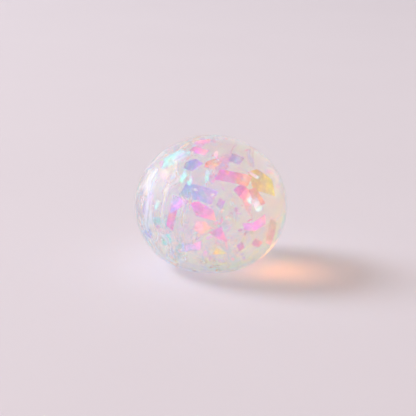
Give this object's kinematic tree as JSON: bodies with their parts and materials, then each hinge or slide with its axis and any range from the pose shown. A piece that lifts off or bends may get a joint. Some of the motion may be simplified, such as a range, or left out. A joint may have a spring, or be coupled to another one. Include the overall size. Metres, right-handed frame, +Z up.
{
  "type": "squishy ball",
  "caption": "Clear soft squeeze ball, slightly flattened under its own weight, filled with clear gel in which iridescent film flakes hang; it presses flat and comes back.",
  "frame": {"origin": "centre of the flat that the ball stands on", "axes": "+Z up through the crown, +X to the right and +Y away from the viewer as in the picture"},
  "size_m": [0.067, 0.067, 0.058],
  "materials": {
    "skin": "clear glossy soft elastomer",
    "plug": "clear satin elastomer",
    "gel": "clear gel",
    "film_pink": "colour-shifting film, pink",
    "film_magenta": "colour-shifting film, magenta",
    "film_orange": "colour-shifting film, orange",
    "film_yellow": "colour-shifting film, yellow",
    "film_lilac": "colour-shifting film, lilac",
    "film_blue": "colour-shifting film, blue",
    "film_aqua": "colour-shifting film, aqua",
    "film_pearl": "colour-shifting film, pearl"
  },
  "bodies": {
    "skin": {"shell": "skin", "fill_plug": "plug"},
    "filling": {"gel_fill": "gel"},
    "flakes_bottom": {"violet_strip": "film_lilac", "yellow_shard": "film_yellow", "purple_chip": "film_magenta", "rose_chip": "film_pink", "back_bottom_1": "film_pearl", "back_bottom_2": "film_aqua", "glitter_bottom": "film_pearl"},
    "flakes_low": {"pink_shard": "film_pink", "salmon_leaf": "film_orange", "ridge_strip": "film_magenta", "teal_chip": "film_aqua", "edge_leaf": "film_blue", "peach_strip": "film_orange", "back_low_1": "film_yellow", "back_low_2": "film_pearl", "back_low_3": "film_aqua", "glitter_low": "film_pearl"},
    "flakes_middle": {"pink_leaf": "film_pink", "upright_strip": "film_pink", "left_sliver": "film_lilac", "ice_sliver": "film_aqua", "back_middle_1": "film_pink", "back_middle_2": "film_yellow", "back_middle_3": "film_pearl", "glitter_middle": "film_pearl"},
    "flakes_upper": {"blue_strip": "film_blue", "lilac_chip": "film_lilac", "folded_strip": "film_pink", "salmon_strip": "film_orange", "mint_shard": "film_aqua", "pearl_sliver": "film_pearl", "lilac_fan": "film_lilac", "back_upper_1": "film_orange", "back_upper_2": "film_pink", "back_upper_3": "film_yellow", "glitter_upper": "film_pearl"},
    "flakes_high": {"ribbon_strip": "film_pink", "yellow_leaf": "film_yellow", "mint_sliver": "film_aqua", "mint_chip": "film_aqua", "back_high_1": "film_lilac", "back_high_2": "film_orange", "back_high_3": "film_pink", "glitter_high": "film_pearl"},
    "flakes_crown": {"aqua_sliver": "film_aqua", "white_sliver": "film_pearl", "blue_leaf": "film_blue", "striped_chip": "film_aqua", "frost_leaf": "film_pearl", "arched_strip": "film_magenta", "coral_arch": "film_orange", "red_sliver": "film_magenta", "blush_chip": "film_lilac", "back_crown_1": "film_magenta", "back_crown_2": "film_lilac", "glitter_crown": "film_pearl"}
  },
  "joints": [
    {"name": "squeeze", "type": "slide", "parent": "skin", "child": "filling", "axis": [0, 0, -1], "range_m": [0, 0.012], "stiffness_N_per_m": 2500, "springref_m": -0.001, "deforming": ["shell", "gel_fill"]},
    {"name": "sink_bottom", "type": "slide", "parent": "filling", "child": "flakes_bottom", "axis": [0, 0, -1], "range_m": [-0.00642, 0]},
    {"name": "sink_low", "type": "slide", "parent": "filling", "child": "flakes_low", "axis": [0, 0, -1], "range_m": [-0.00385, 0]},
    {"name": "sink_middle", "type": "slide", "parent": "filling", "child": "flakes_middle", "axis": [0, 0, -1], "range_m": [-0.00128, 0]},
    {"name": "sink_upper", "type": "slide", "parent": "filling", "child": "flakes_upper", "axis": [0, 0, -1], "range_m": [0, 0.00128]},
    {"name": "sink_high", "type": "slide", "parent": "filling", "child": "flakes_high", "axis": [0, 0, -1], "range_m": [0, 0.00385]},
    {"name": "sink_crown", "type": "slide", "parent": "filling", "child": "flakes_crown", "axis": [0, 0, -1], "range_m": [0, 0.00642]}
  ],
  "couplings": [
    {"joint": "sink_bottom", "follows": "squeeze", "ratio": -0.53517},
    {"joint": "sink_low", "follows": "squeeze", "ratio": -0.3211},
    {"joint": "sink_middle", "follows": "squeeze", "ratio": -0.10703},
    {"joint": "sink_upper", "follows": "squeeze", "ratio": 0.10703},
    {"joint": "sink_high", "follows": "squeeze", "ratio": 0.3211},
    {"joint": "sink_crown", "follows": "squeeze", "ratio": 0.53517}
  ]
}
